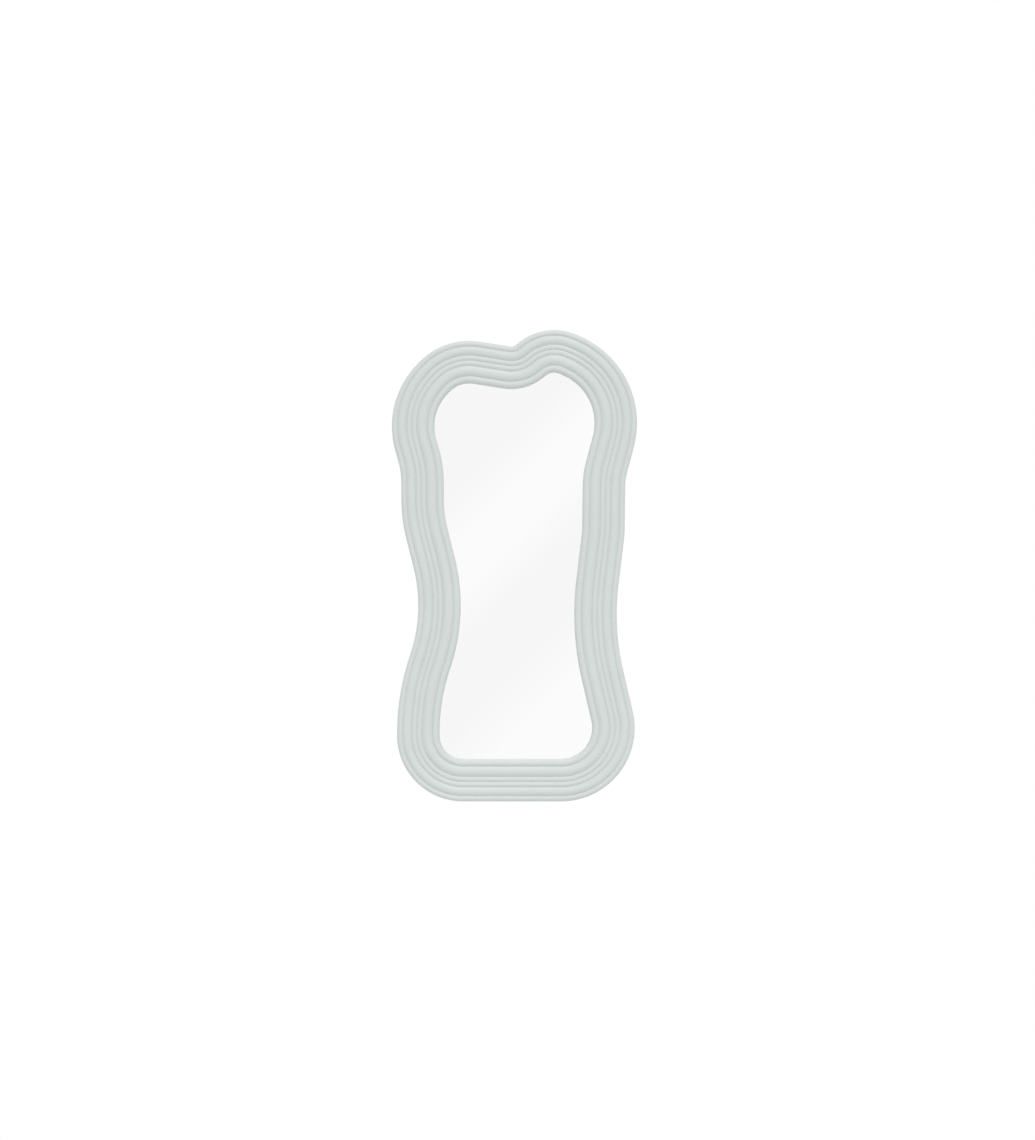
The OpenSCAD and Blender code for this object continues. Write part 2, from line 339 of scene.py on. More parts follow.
@dataclass(frozen=True)
class RawMoulding:
    """The moulding's rear faces: primed and sanded, with a dusting of paint from the sides."""

    primer: Colour = srgb(226, 222, 210)
    stain: Colour = srgb(203, 195, 176)
    paint: Colour = srgb(211, 217, 215)
    cloud: Grain = Grain(60.0 * MM, 4.0, 0.6)
    stain_span: Span = (0.46, 0.75)
    stain_share: float = 0.45
    speck: Grain = Grain(1.1 * MM, 2.0, 0.7)
    scratch: Grain = Grain(0.5 * MM, 1.0, 0.5, (14.0, 1.0, 1.0))
    scratch_share: float = 0.6
    scratch_gloss: float = 0.1
    spray_reach: float = 9.0 * MM
    spray_speck: float = 1.4
    spray_cloud: float = 1.6
    spray_full: float = 0.55
    spray_share: float = 0.9
    spray_gloss: float = 0.16
    relief: float = 0.06 * MM
    roughness: float = 0.78

    def material(self) -> Material:
        """Cream primer with sanding marks, stains, and overspray near the outer edge.

        Returns:
            The material.
        """
        shader = Shader.named("raw_moulding")
        cloud, speck, scratch = map(shader.noise, (self.cloud, self.speck, self.scratch))
        near = 1.0 - shader.marked(INWARD) / self.spray_reach
        patchy = near + speck.sway(self.spray_speck) + cloud.sway(self.spray_cloud)
        spray = patchy.step(0.0, self.spray_full)
        primed = shader.blend(self.primer, self.stain, cloud.step(*self.stain_span) * self.stain_share)
        height = scratch * self.scratch_share + speck * (1.0 - self.scratch_share)
        return shader.finish(
            Base_Color=shader.blend(primed, self.paint, spray * self.spray_share),
            Roughness=self.roughness - spray * self.spray_gloss + scratch.sway(self.scratch_gloss),
            Normal=shader.bump(height, self.relief))


@dataclass(frozen=True)
class Silvering:
    """The face of the glass with the silver behind it, wiped clean."""

    silver: Colour = (0.956, 0.955, 0.955, 1.0)
    haze: Colour = (0.945, 0.947, 0.946, 1.0)
    cloud: Grain = Grain(130.0 * MM, 3.0, 0.6)
    cloud_span: Span = (0.48, 0.78)
    wipe: Grain = Grain(3.0 * MM, 2.0, 0.5, (30.0, 1.0, 4.0))
    haze_roughness: float = 0.035
    glass_coat: float = 0.25

    def material(self) -> Material:
        """A mirror with the faintest haze where a cloth has dried.

        Returns:
            The material.
        """
        shader = Shader.named("silvering")
        haze = shader.noise(self.cloud).step(*self.cloud_span) * shader.noise(self.wipe)
        return shader.finish(
            Base_Color=shader.blend(self.silver, self.haze, haze), Metallic=1.0,
            Roughness=haze * self.haze_roughness, Coat_Weight=self.glass_coat, Coat_Roughness=0.0)


@dataclass(frozen=True)
class GlassEdge:
    """The ground and seamed edge of the sheet."""

    body: Colour = srgb(128, 166, 152)
    frost: Colour = srgb(190, 210, 202)
    grind: Grain = Grain(0.4 * MM, 2.0, 0.6, (1.0, 8.0, 1.0))
    frost_span: Span = (0.35, 0.7)
    grind_gloss: float = 0.3
    relief: float = 0.03 * MM
    roughness: float = 0.28

    def material(self) -> Material:
        """Green glass, frosted by the grinding belt.

        Returns:
            The material.
        """
        shader = Shader.named("glass_edge")
        grind = shader.noise(self.grind)
        return shader.finish(
            Base_Color=shader.blend(self.body, self.frost, grind.step(*self.frost_span)),
            Roughness=self.roughness + grind * self.grind_gloss,
            Normal=shader.bump(grind, self.relief))


@dataclass(frozen=True)
class BackPaint:
    """The paint that seals the silver on the glass's rear face."""

    grey: Colour = srgb(122, 128, 131)
    thin: Colour = srgb(141, 146, 148)
    run: Grain = Grain(45.0 * MM, 3.0, 0.5, (1.0, 1.0, 6.0))
    grit: Grain = Grain(1.2 * MM)
    grit_gloss: float = 0.15
    relief: float = 0.03 * MM
    roughness: float = 0.55

    def material(self) -> Material:
        """Curtain-coated grey paint with slow runs.

        Returns:
            The material.
        """
        shader = Shader.named("back_paint")
        grit = shader.noise(self.grit)
        return shader.finish(
            Base_Color=shader.blend(self.grey, self.thin, shader.noise(self.run)),
            Roughness=self.roughness + grit.sway(self.grit_gloss),
            Normal=shader.bump(grit, self.relief))


@dataclass(frozen=True)
class Fibreboard:
    """Medium-density fibreboard with a sanded face and rougher, darker sawn edges."""

    face: Colour = srgb(184, 152, 113)
    dark: Colour = srgb(150, 117, 80)
    pale: Colour = srgb(208, 182, 145)
    edge: Colour = srgb(133, 102, 70)
    cloud: Grain = Grain(70.0 * MM, 4.0, 0.6)
    cloud_share: float = 0.7
    meal: Grain = Grain(0.9 * MM, 4.0, 0.75)
    meal_share: float = 1.1
    meal_gloss: float = 0.25
    fibre: Grain = Grain(0.4 * MM, 2.0, 0.55, (7.0, 1.0, 1.0))
    fibre_turns: tuple[float, ...] = (14.0, 77.0, 133.0)
    dark_span: Span = (0.58, 0.72)
    dark_share: float = 0.55
    pale_span: Span = (0.36, 0.24)
    pale_share: float = 0.6
    edge_span: Span = (0.9, 0.5)
    edge_share: float = 0.7
    edge_gloss: float = 0.15
    relief: float = 0.05 * MM
    roughness: float = 0.72

    def material(self) -> Material:
        """Wood meal with short fibres that lie every way, over slow clouds.

        Returns:
            The material.
        """
        shader = Shader.named("fibreboard")
        cloud, meal = map(shader.noise, (self.cloud, self.meal))
        layers = [shader.noise(replace(self.fibre, turn=turn)) for turn in self.fibre_turns]
        dark = reduce(Reading.most, layers).step(*self.dark_span)
        pale = reduce(Reading.least, layers).step(*self.pale_span)
        depth = dark * self.dark_share + meal.sway(self.meal_share) + cloud.sway(self.cloud_share)
        sanded = shader.blend(self.face, self.dark, depth.clamped())
        flecked = shader.blend(sanded, self.pale, pale * self.pale_share)
        edge = abs(shader.facing("Y")).step(*self.edge_span)
        return shader.finish(
            Base_Color=shader.blend(flecked, self.edge, edge * self.edge_share),
            Roughness=self.roughness + meal.sway(self.meal_gloss) + edge * self.edge_gloss,
            Normal=shader.bump(meal.least(1.0 - dark * MIDDLE), self.relief))


@dataclass(frozen=True)
class ZincPlate:
    """Bright zinc plating on pressed or drawn steel."""

    name: str = "zinc_plate"
    bright: Colour = (0.62, 0.63, 0.645, 1.0)
    dull: Colour = (0.47, 0.475, 0.47, 1.0)
    warm: Colour = (0.62, 0.58, 0.49, 1.0)
    spangle: Grain = Grain(3.5 * MM, 3.0, 0.6)
    dull_span: Span = (0.4, 0.68)
    dull_share: float = 0.7
    spangle_gloss: float = 0.22
    draw: Grain = Grain(0.25 * MM, 2.0, 0.5, (1.0, 1.0, 20.0))
    draw_share: float = 0.7
    draw_gloss: float = 0.14
    pit_wave: float = 0.9 * MM
    pit_span: Span = (0.2, 0.05)
    pit_share: float = 0.3
    film: Grain = Grain(9.0 * MM)
    film_span: Span = (0.5, 0.75)
    film_share: float = 0.4
    relief: float = 0.012 * MM
    roughness: float = 0.3

    def material(self) -> Material:
        """Plating with draw marks, dull spots, small pits and a trace of yellow.

        Returns:
            The material.
        """
        shader = Shader.named(self.name)
        spangle, draw, film = map(shader.noise, (self.spangle, self.draw, self.film))
        pit = shader.cells(self.pit_wave).step(*self.pit_span)
        dull = spangle.step(*self.dull_span) * self.dull_share + pit * self.pit_share
        plated = shader.blend(self.bright, self.dull, dull)
        height = draw * self.draw_share + spangle * (1.0 - self.draw_share)
        return shader.finish(
            Base_Color=shader.blend(plated, self.warm, film.step(*self.film_span) * self.film_share),
            Metallic=1.0,
            Roughness=self.roughness + spangle.sway(self.spangle_gloss) + draw.sway(self.draw_gloss),
            Normal=shader.bump(height, self.relief))


@dataclass(frozen=True)
class Rubber:
    """Moulded rubber with a fine spark-eroded grain and a little dust."""

    name: str = "pad_rubber"
    body: Colour = srgb(58, 60, 61)
    dust: Colour = srgb(96, 97, 96)
    grain: Grain = Grain(0.45 * MM, 2.0, 0.6)
    grain_gloss: float = 0.2
    smear: Grain = Grain(7.0 * MM, 3.0, 0.6)
    smear_span: Span = (0.42, 0.8)
    relief: float = 0.04 * MM
    roughness: float = 0.74

    def material(self) -> Material:
        """Dull rubber, paler where dust has settled in the grain.

        Returns:
            The material.
        """
        shader = Shader.named(self.name)
        grain = shader.noise(self.grain)
        dusty = shader.noise(self.smear).step(*self.smear_span) * grain
        return shader.finish(
            Base_Color=shader.blend(self.body, self.dust, dusty),
            Roughness=self.roughness + grain.sway(self.grain_gloss),
            Normal=shader.bump(grain, self.relief))


@dataclass(frozen=True)
class FoamTape:
    """White closed-cell foam, cut from a roll."""

    skin: Colour = srgb(241, 240, 234)
    pore: Colour = srgb(206, 204, 195)
    cell_wave: float = 0.5 * MM
    pore_share: float = 0.7
    cell_gloss: float = 0.1
    cloud: Grain = Grain(12.0 * MM)
    cloud_share: float = 0.4
    relief: float = 0.12 * MM
    roughness: float = 0.86

    def material(self) -> Material:
        """Fine closed cells.

        Returns:
            The material.
        """
        shader = Shader.named("foam_tape")
        cell, cloud = shader.cells(self.cell_wave), shader.noise(self.cloud)
        depth = (1.0 - cell) * self.pore_share + cloud.sway(self.cloud_share)
        return shader.finish(
            Base_Color=shader.blend(self.skin, self.pore, depth.clamped()),
            Roughness=self.roughness + cell.sway(self.cell_gloss),
            Normal=shader.bump(cell, self.relief))


@dataclass
class Piece:
    """A piece on the bench, shaped by the moves that are made by hand in edit mode."""

    shape: Object

    @classmethod
    def start(cls, primitive: Callable[..., object], **sizes: object) -> "Piece":
        """Start from a primitive, with nothing else selected.

        Args:
            primitive: The operator that adds it.
            sizes: Its sizes.

        Returns:
            The piece.
        """
        bpy.ops.object.select_all(action="DESELECT")
        primitive(**sizes)
        return cls(bpy.context.object)

    @staticmethod
    def join(pieces: "list[Piece]", name: str) -> "Piece":
        """Join several pieces into one.

        Args:
            pieces: The pieces.
            name: The name of the whole.

        Returns:
            The whole.
        """
        pieces[0].pick()
        for piece in pieces[1:]:
            piece.shape.select_set(True)
        bpy.ops.object.join()
        pieces[0].rename(name)
        return pieces[0]

    def rename(self, name: str) -> None:
        """Name the object and its mesh."""
        self.shape.name = self.shape.data.name = name

    def drop(self) -> None:
        """Throw the piece away."""
        bpy.data.objects.remove(self.shape)

    def spread(self, moves: Iterable[Matrix]) -> "list[Piece]":
        """Copy the piece to several places, each copy with its own mesh, and throw the pattern away.

        Args:
            moves: Where each copy's mesh goes.

        Returns:
            The copies.
        """
        copies = []
        for move in moves:
            twin = self.shape.copy()
            twin.data = self.shape.data.copy()
            twin.data.transform(move)
            bpy.context.scene.collection.objects.link(twin)
            copies.append(Piece(twin))
        self.drop()
        return copies

    def pick(self) -> None:
        """Select the piece alone and make it active."""
        bpy.ops.object.select_all(action="DESELECT")
        self.shape.select_set(True)
        bpy.context.view_layer.objects.active = self.shape

    def edit(self) -> None:
        """Pick the piece and go into edit mode."""
        self.pick()
        bpy.ops.object.mode_set(mode="EDIT")

    def leave(self) -> None:
        """Go back to object mode."""
        bpy.ops.object.mode_set(mode="OBJECT")

    def take_all(self) -> None:
        """Select the whole mesh in edit mode."""
        bpy.ops.mesh.select_all(action="SELECT")

    def take(self, wanted: FaceTest | VertexTest, kind: str = "FACE") -> None:
        """Select in edit mode the faces or vertices that pass a test on their place or normal.

        Args:
            wanted: The test.
            kind: FACE or VERT.
        """
        self.edit()
        bpy.ops.mesh.select_mode(type=kind)
        bpy.ops.mesh.select_all(action="DESELECT")
        self.leave()
        mesh = self.shape.data
        for part in mesh.polygons if kind == "FACE" else mesh.vertices:
            part.select = wanted(part)
        self.edit()

    def merge(self) -> None:
        """Merge the doubles in edit mode, and leave the whole mesh selected."""
        self.take_all()
        bpy.ops.mesh.remove_doubles(threshold=MERGE_GAP)

    def pull(self, step: Vector) -> None:
        """Extrude what is selected by a step."""
        bpy.ops.mesh.extrude_region_move(TRANSFORM_OT_translate={"value": step})

    def swing(self, centre: Vector, axis: Vector, angle: float, steps: int) -> None:
        """Extrude what is selected round an axis by the right-hand rule, by an angle in radians."""
        bpy.ops.mesh.spin(steps=steps, angle=-angle, center=centre, axis=axis)

    def close(self, smooth: float = SMOOTH_ANGLE) -> None:
        """Merge doubles, turn the faces outwards, leave edit mode and shade.

        Args:
            smooth: Edges that bend less than this many degrees are smooth.
        """
        self.merge()
        bpy.ops.mesh.normals_make_consistent(inside=False)
        self.leave()
        self.shade(smooth)

    def shade(self, smooth: float = SMOOTH_ANGLE) -> None:
        """Shade the piece smooth up to an angle in degrees."""
        self.pick()
        bpy.ops.object.shade_smooth_by_angle(angle=math.radians(smooth))

    def modify(self, kind: str, **settings: object) -> None:
        """Add a modifier and apply it.

        Args:
            kind: The modifier's type.
            settings: Its properties.
        """
        self.pick()
        modifier = self.shape.modifiers.new(kind.lower(), kind)
        for name, value in settings.items():
            setattr(modifier, name, value)
        bpy.ops.object.modifier_apply(modifier=modifier.name)

    def combine(self, other: "Piece", operation: str = "DIFFERENCE") -> None:
        """Cut another shape out of the piece, or add it with UNION, and throw it away."""
        self.modify("BOOLEAN", operation=operation, solver="EXACT", object=other.shape)
        other.drop()

    def soften(self, width: float, angle: float, segments: int = 1) -> None:
        """Bevel the edges that bend by more than an angle in degrees."""
        self.modify("BEVEL", width=width, segments=segments, limit_method="ANGLE",
                    angle_limit=math.radians(angle))

    def dress(self, base: Material, *others: tuple[Material, FaceTest]) -> None:
        """Give the piece its materials.

        Args:
            base: The material of all faces that no test takes.
            others: Further materials, each with the test that says which faces wear it.
        """
        self.shape.data.materials.clear()
        self.shape.data.materials.append(base)
        for index, (material, wanted) in enumerate(others, start=1):
            self.shape.data.materials.append(material)
            self.take(wanted)
            self.shape.active_material_index = index
            bpy.ops.object.material_slot_assign()
            self.leave()

    def report(self) -> None:
        """Log the piece's faces and its size in millimetres."""
        mesh = self.shape.data
        sides = (max(line) - min(line) for line in zip(*(vertex.co for vertex in mesh.vertices)))
        size = " x ".join(f"{side / MM:.1f}" for side in sides)
        log.info("%s: %d faces, %s mm", self.shape.name, len(mesh.polygons), size)

    def hang(self, body: str, slot: str, node: str) -> None:
        """Hang the finished piece on its body in place of its construction node.

        Args:
            body: The body that it rides on.
            slot: The name of a material slot; it is not used.
            node: The node that it stands for.
        """
        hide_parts(node)
        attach(self.shape, body)
        self.report()


class Pen(Piece):
    """A piece that is drawn in edit mode, a line or an arc at a time."""

    def __init__(self, name: str, place: Vector) -> None:
        """Start as a single vertex, and stay in edit mode with it selected.

        Args:
            name: The piece's name.
            place: Where the vertex lies.
        """
        super().__init__(Piece.start(bpy.ops.mesh.primitive_plane_add, size=MM).shape)
        self.rename(name)
        self.edit()
        bpy.ops.mesh.select_mode(type="VERT")
        self.take_all()
        bpy.ops.mesh.merge(type="CENTER")
        bpy.ops.transform.translate(value=place)
        self.place = place

    def line(self, place: Vector) -> None:
        """Draw a straight line to a place."""
        self.pull(place - self.place)
        self.place = place

    def arc(self, centre: Vector, axis: Vector, angle: float, steps: int) -> None:
        """Draw an arc round a centre by the right-hand rule, by an angle in degrees."""
        self.swing(centre, axis, math.radians(angle), steps)
        self.place = centre + Matrix.Rotation(math.radians(angle), 3, axis) @ (self.place - centre)

    def turned(self, sides: int, smooth: float = SMOOTH_ANGLE) -> "Pen":
        """Turn the whole profile once round the Y axis and close the piece.

        Args:
            sides: Number of steps round the axis.
            smooth: Edges that bend less than this many degrees are smooth.

        Returns:
            The piece itself, in object mode.
        """
        self.take_all()
        self.swing(CENTRE, BACK, 2 * math.pi, sides)
        self.close(smooth)
        return self


def front_of(node: str) -> float:
    """The y of a node's front, in metres."""
    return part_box(node)[0].y


def rear_of(node: str) -> float:
    """The y of a node's rear, in metres."""
    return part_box(node)[1].y


@dataclass(frozen=True)
class Lobe:
    """One arc of the outline, at the frame's outer edge, in millimetres."""

    across: float
    up: float
    radius: float

    def centre(self) -> Vector:
        """The arc's centre on the wall, in metres."""
        return Vector((self.across, 0.0, self.up)) * MM


@dataclass
class Outline:
    """The belt drawn round fourteen lobes, anticlockwise from the lower right corner.

    A lobe's radius is positive where the edge bulges outwards and negative where it is drawn in.
    """

    lobes: tuple[Lobe, ...] = (
        Lobe(99, 156, 156), Lobe(738, 397, -521), Lobe(27, 582, 207), Lobe(354, 667, -119),
        Lobe(60, 803, 200), Lobe(84, 882, 118), Lobe(-7, 982, -17), Lobe(-96, 829, 148),
        Lobe(-72, 796, 188), Lobe(-407, 676, -167), Lobe(115, 643, 355), Lobe(-528, 416, -324),
        Lobe(270, 144, 519), Lobe(-109, 140, 140))
    band: float = 90.0 * MM
    chord_error: float = 0.05 * MM

    def lobe(self, index: int) -> Lobe:
        """The lobe at an index, counted round the belt."""
        return self.lobes[index % len(self.lobes)]

    def start(self, inward: float, y: float) -> Vector:
        """The place where a sweep starts: below the first lobe's centre, where the belt runs level."""
        return Vector((self.lobes[0].centre().x, y, inward))

    def run(self, index: int) -> tuple[Vector, float]:
        """The straight run behind a lobe.

        Args:
            index: The lobe's number.

        Returns:
            The run as a step, and its heading in radians, 0 along +X and rising anticlockwise.
        """
        here, there = self.lobe(index), self.lobe(index + 1)
        step = there.centre() - here.centre()
        rise = (there.radius - here.radius) * MM
        heading = math.atan2(step.z, step.x) - math.asin(rise / step.length)
        length = math.sqrt(step.length_squared - rise * rise)
        return (RIGHT * math.cos(heading) + UP * math.sin(heading)) * length, heading

    def turn(self, index: int) -> float:
        """How far the belt turns round a lobe, in radians, positive anticlockwise."""
        change = self.run(index)[1] - self.run(index - 1)[1]
        return (change + math.pi) % (2 * math.pi) - math.pi

    def at(self, index: int, share: float, inward: float) -> Vector:
        """A point on a lobe's arc or on the straight run behind it.

        Args:
            index: The lobe's number.
            share: The share of the lobe's turn. Above 1 it goes on along the straight run.
            inward: Distance inward from the frame's outer edge.

        Returns:
            The point on the wall.
        """
        heading = self.run(index - 1)[1] + self.turn(index) * min(1.0, share)
        lobe = self.lobe(index)
        out = RIGHT * math.sin(heading) - UP * math.cos(heading)
        onward = self.run(index)[0] * max(0.0, share - 1.0)
        return lobe.centre() + out * (lobe.radius * MM - inward) + onward

    def sweep(self, piece: Piece) -> None:
        """Sweep what is selected once round the outline.

        Args:
            piece: The piece in edit mode.
        """
        for index, lobe in enumerate(self.lobes):
            reach = max(abs(lobe.radius * MM), abs(lobe.radius * MM - self.band))
            turn = self.turn(index)
            step = 2 * math.acos(1 - self.chord_error / reach)
            piece.swing(lobe.centre(), FRONT, turn, math.ceil(abs(turn) / step))
            piece.pull(self.run(index)[0])

    def sheet(self, name: str, node: str, inward: float) -> Piece:
        """Cut a flat sheet along the outline.

        Args:
            name: The sheet's name.
            node: The construction node that it stands for, which gives its two faces.
            inward: Distance inward from the frame's outer edge.

        Returns:
            The sheet.
        """
        piece = Pen(name, self.start(inward, front_of(node)))
        self.sweep(piece)
        piece.merge()
        bpy.ops.mesh.edge_face_add()
        piece.pull(BACK * (rear_of(node) - front_of(node)))
        piece.close()
        return piece


@dataclass(frozen=True)
class Rib:
    """One rib's arc in the moulding's section, in metres."""

    inward: float
    height: float
    radius: float

    def angle_to(self, inward: float, height: float) -> float:
        """The angle at the rib's centre from its crest to a point of the section, in degrees."""
        return math.degrees(math.atan2(inward - self.inward, height - self.height))


@dataclass
class Moulding:
    """The ribbed frame: one moulding with a rear recess for the board and a rebate for the glass."""

    outline: Outline
    rib_widths: tuple[float, ...] = (12 * MM, 19 * MM, 11 * MM, 11 * MM, 22 * MM, 15 * MM)
    groove_fillet: float = 0.45 * MM
    rear_round: float = 1.5 * MM
    edge_round: float = 0.6 * MM
    rim: float = 30.0 * MM
    rebate: float = 80.0 * MM
    lip: float = 10.0 * MM
    arc_step: float = 7.0
    arc_least: int = 2
    flat_facing: float = 0.98
    pen: Pen = field(init=False)

    def build(self) -> None:
        """Draw the section, sweep it round the outline and dress it."""
        rear, lip_rear = -rear_of("frame_moulding"), -front_of("mirror_glass")
        self.pen = Pen("ribbed_moulding", self._spot(self.rear_round, rear))
        ribs = self._ribs(lip_rear + self.lip)
        self._arc(self.rear_round, rear + self.rear_round, QUARTER)
        self._line(0.0, ribs[0].height)
        self._draw_ribs(ribs)
        self._draw_rear(rear, lip_rear)
        self.pen.merge()
        self._mark_inward()
        self.outline.sweep(self.pen)
        self.pen.close()
        grooves = tuple(accumulate(self.rib_widths))[:-1]
        self.pen.dress(SatinPaint(grooves).material(),
                       (RawMoulding().material(), self._raw_test(lip_rear)))
        self.pen.hang(MIRROR_BODY, "painted_moulding", "frame_moulding")

    def _spot(self, inward: float, height: float) -> Vector:
        """A point of the section, by its distance inward and its height from the wall."""
        return self.outline.start(inward, -height)

    def _line(self, inward: float, height: float) -> None:
        """Draw a straight line to a point of the section."""
        self.pen.line(self._spot(inward, height))

    def _arc(self, inward: float, height: float, angle: float) -> None:
        """Draw an arc round a point of the section, in degrees, positive over the point inwards."""
        steps = max(self.arc_least, math.ceil(abs(angle) / self.arc_step))
        self.pen.arc(self._spot(inward, height), -RIGHT, angle, steps)

    def _ribs(self, groove: float) -> list[Rib]:
        """The ribs' arcs, with the slope that lifts the broadest one to the frame's crest.

        Args:
            groove: The grooves' height from the wall.

        Returns:
            The ribs, from the outer edge inwards.
        """
        rise = -front_of("frame_moulding") - groove
        slope = 2 * math.atan(2 * rise / max(self.rib_widths))
        sine, last = math.sin(slope), len(self.rib_widths) - 1
        ribs, inward = [], 0.0
        for index, width in enumerate(self.rib_widths):
            radius = width / (sine + 1.0 if index in (0, last) else 2 * sine)
            offset = radius if index == 0 else radius * sine
            ribs.append(Rib(inward + offset, groove - radius * math.cos(slope), radius))
            inward += width
        return ribs

    def _groove_centre(self, outer: Rib, inner: Rib) -> Vector:
        """The centre of the small round in the groove between two ribs.

        Args:
            outer: The rib on the outer side.
            inner: The rib on the inner side.

        Returns:
            Its distance inward and its height.
        """
        reach_a, reach_b = outer.radius + self.groove_fillet, inner.radius + self.groove_fillet
        gap = Vector((inner.inward - outer.inward, inner.height - outer.height))
        along = (gap.length_squared + reach_a ** 2 - reach_b ** 2) / (2 * gap.length)
        unit, across = gap.normalized(), math.sqrt(reach_a ** 2 - along ** 2)
        return Vector((outer.inward, outer.height)) + unit * along + Vector((-unit.y, unit.x)) * across

    def _draw_ribs(self, ribs: list[Rib]) -> None:
        """Draw the ribs with a small round in each groove.

        Args:
            ribs: The ribs, from the outer edge inwards.
        """
        angle = -QUARTER
        for outer, inner in zip(ribs, ribs[1:]):
            centre = self._groove_centre(outer, inner)
            leave, meet = outer.angle_to(*centre), inner.angle_to(*centre)
            self._arc(outer.inward, outer.height, leave - angle)
            self._arc(*centre, meet - leave)
            angle = meet
        self._arc(ribs[-1].inward, ribs[-1].height, QUARTER - angle)

    def _draw_rear(self, rear: float, lip_rear: float) -> None:
        """Go down inside the opening, round the rebate and the recess, and back along the rim.

        Args:
            rear: The rim's height from the wall.
            lip_rear: The height of the lip's rear face.
        """
        soft, ledge, band = self.edge_round, -front_of("back_board"), self.outline.band
        self._line(band, lip_rear + soft)
        self._arc(band - soft, lip_rear + soft, QUARTER)
        for corner in ((self.rebate, lip_rear), (self.rebate, ledge), (self.rim, ledge),
                       (self.rim, rear + soft)):
            self._line(*corner)
        self._arc(self.rim - soft, rear + soft, QUARTER)
        self._line(self.rear_round, rear)

    def _mark_inward(self) -> None:
        """Write each vertex's distance inward on it, which its copies keep as it is swept."""
        self.pen.leave()
        mesh = self.pen.shape.data
        mark = mesh.attributes.new(INWARD, "FLOAT", "POINT")
        mark.data.foreach_set("value", [vertex.co.z for vertex in mesh.vertices])
        self.pen.edit()

    def _raw_test(self, lip_rear: float) -> FaceTest:
        """Make the test for the faces that no spray gun reaches.

        Args:
            lip_rear: The height of the lip's rear face.

        Returns:
            The test.
        """
        inward = [mark.value for mark in self.pen.shape.data.attributes[INWARD].data]
        recess = self.rim - self.edge_round - MERGE_GAP

        def is_raw(face: MeshPolygon) -> bool:
            """Whether a face behind the lip looks at the wall or lies in the recess."""
            hidden = face.normal.y > self.flat_facing or min(inward[k] for k in face.vertices) > recess
            return hidden and -face.center.y <= lip_rear + MERGE_GAP

        return is_raw


@dataclass
class MirrorGlass:
    """The sheet of silvered glass, with its edge seamed."""

    outline: Outline
    inset: float = 82.0 * MM
    seam: float = 0.4 * MM
    seam_angle: float = 60.0
    smooth: float = 20.0
    flat_facing: float = 0.9

    def build(self) -> None:
        """Cut the sheet, seam its edges and dress its three surfaces."""
        piece = self.outline.sheet("silvered_glass", "mirror_glass", self.inset)
        piece.soften(self.seam, self.seam_angle)
        piece.shade(self.smooth)
        piece.dress(Silvering().material(),
                    (GlassEdge().material(), lambda face: abs(face.normal.y) < self.flat_facing),
                    (BackPaint().material(), lambda face: face.normal.y > self.flat_facing))
        piece.hang(MIRROR_BODY, "silvered_glass", "mirror_glass")


@dataclass
class GlassBedding:
    """The foam tape behind the glass and the blocks under it, as the construction model has them."""

    tape: FoamTape = FoamTape()
    blocks: Rubber = Rubber("setting_rubber", srgb(44, 46, 47), srgb(72, 74, 74))

    def build(self) -> None:
        """Dress the construction's own pieces."""
        for name, finish in {"foam_tape": self.tape, "setting_blocks": self.blocks}.items():
            piece = Piece(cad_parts[name])
            piece.dress(finish.material())
            piece.report()


class ScrewHead(Enum):
    """The kinds of screw head on the mirror's back."""

    FLAT = "flat"
    ROUND = "round"


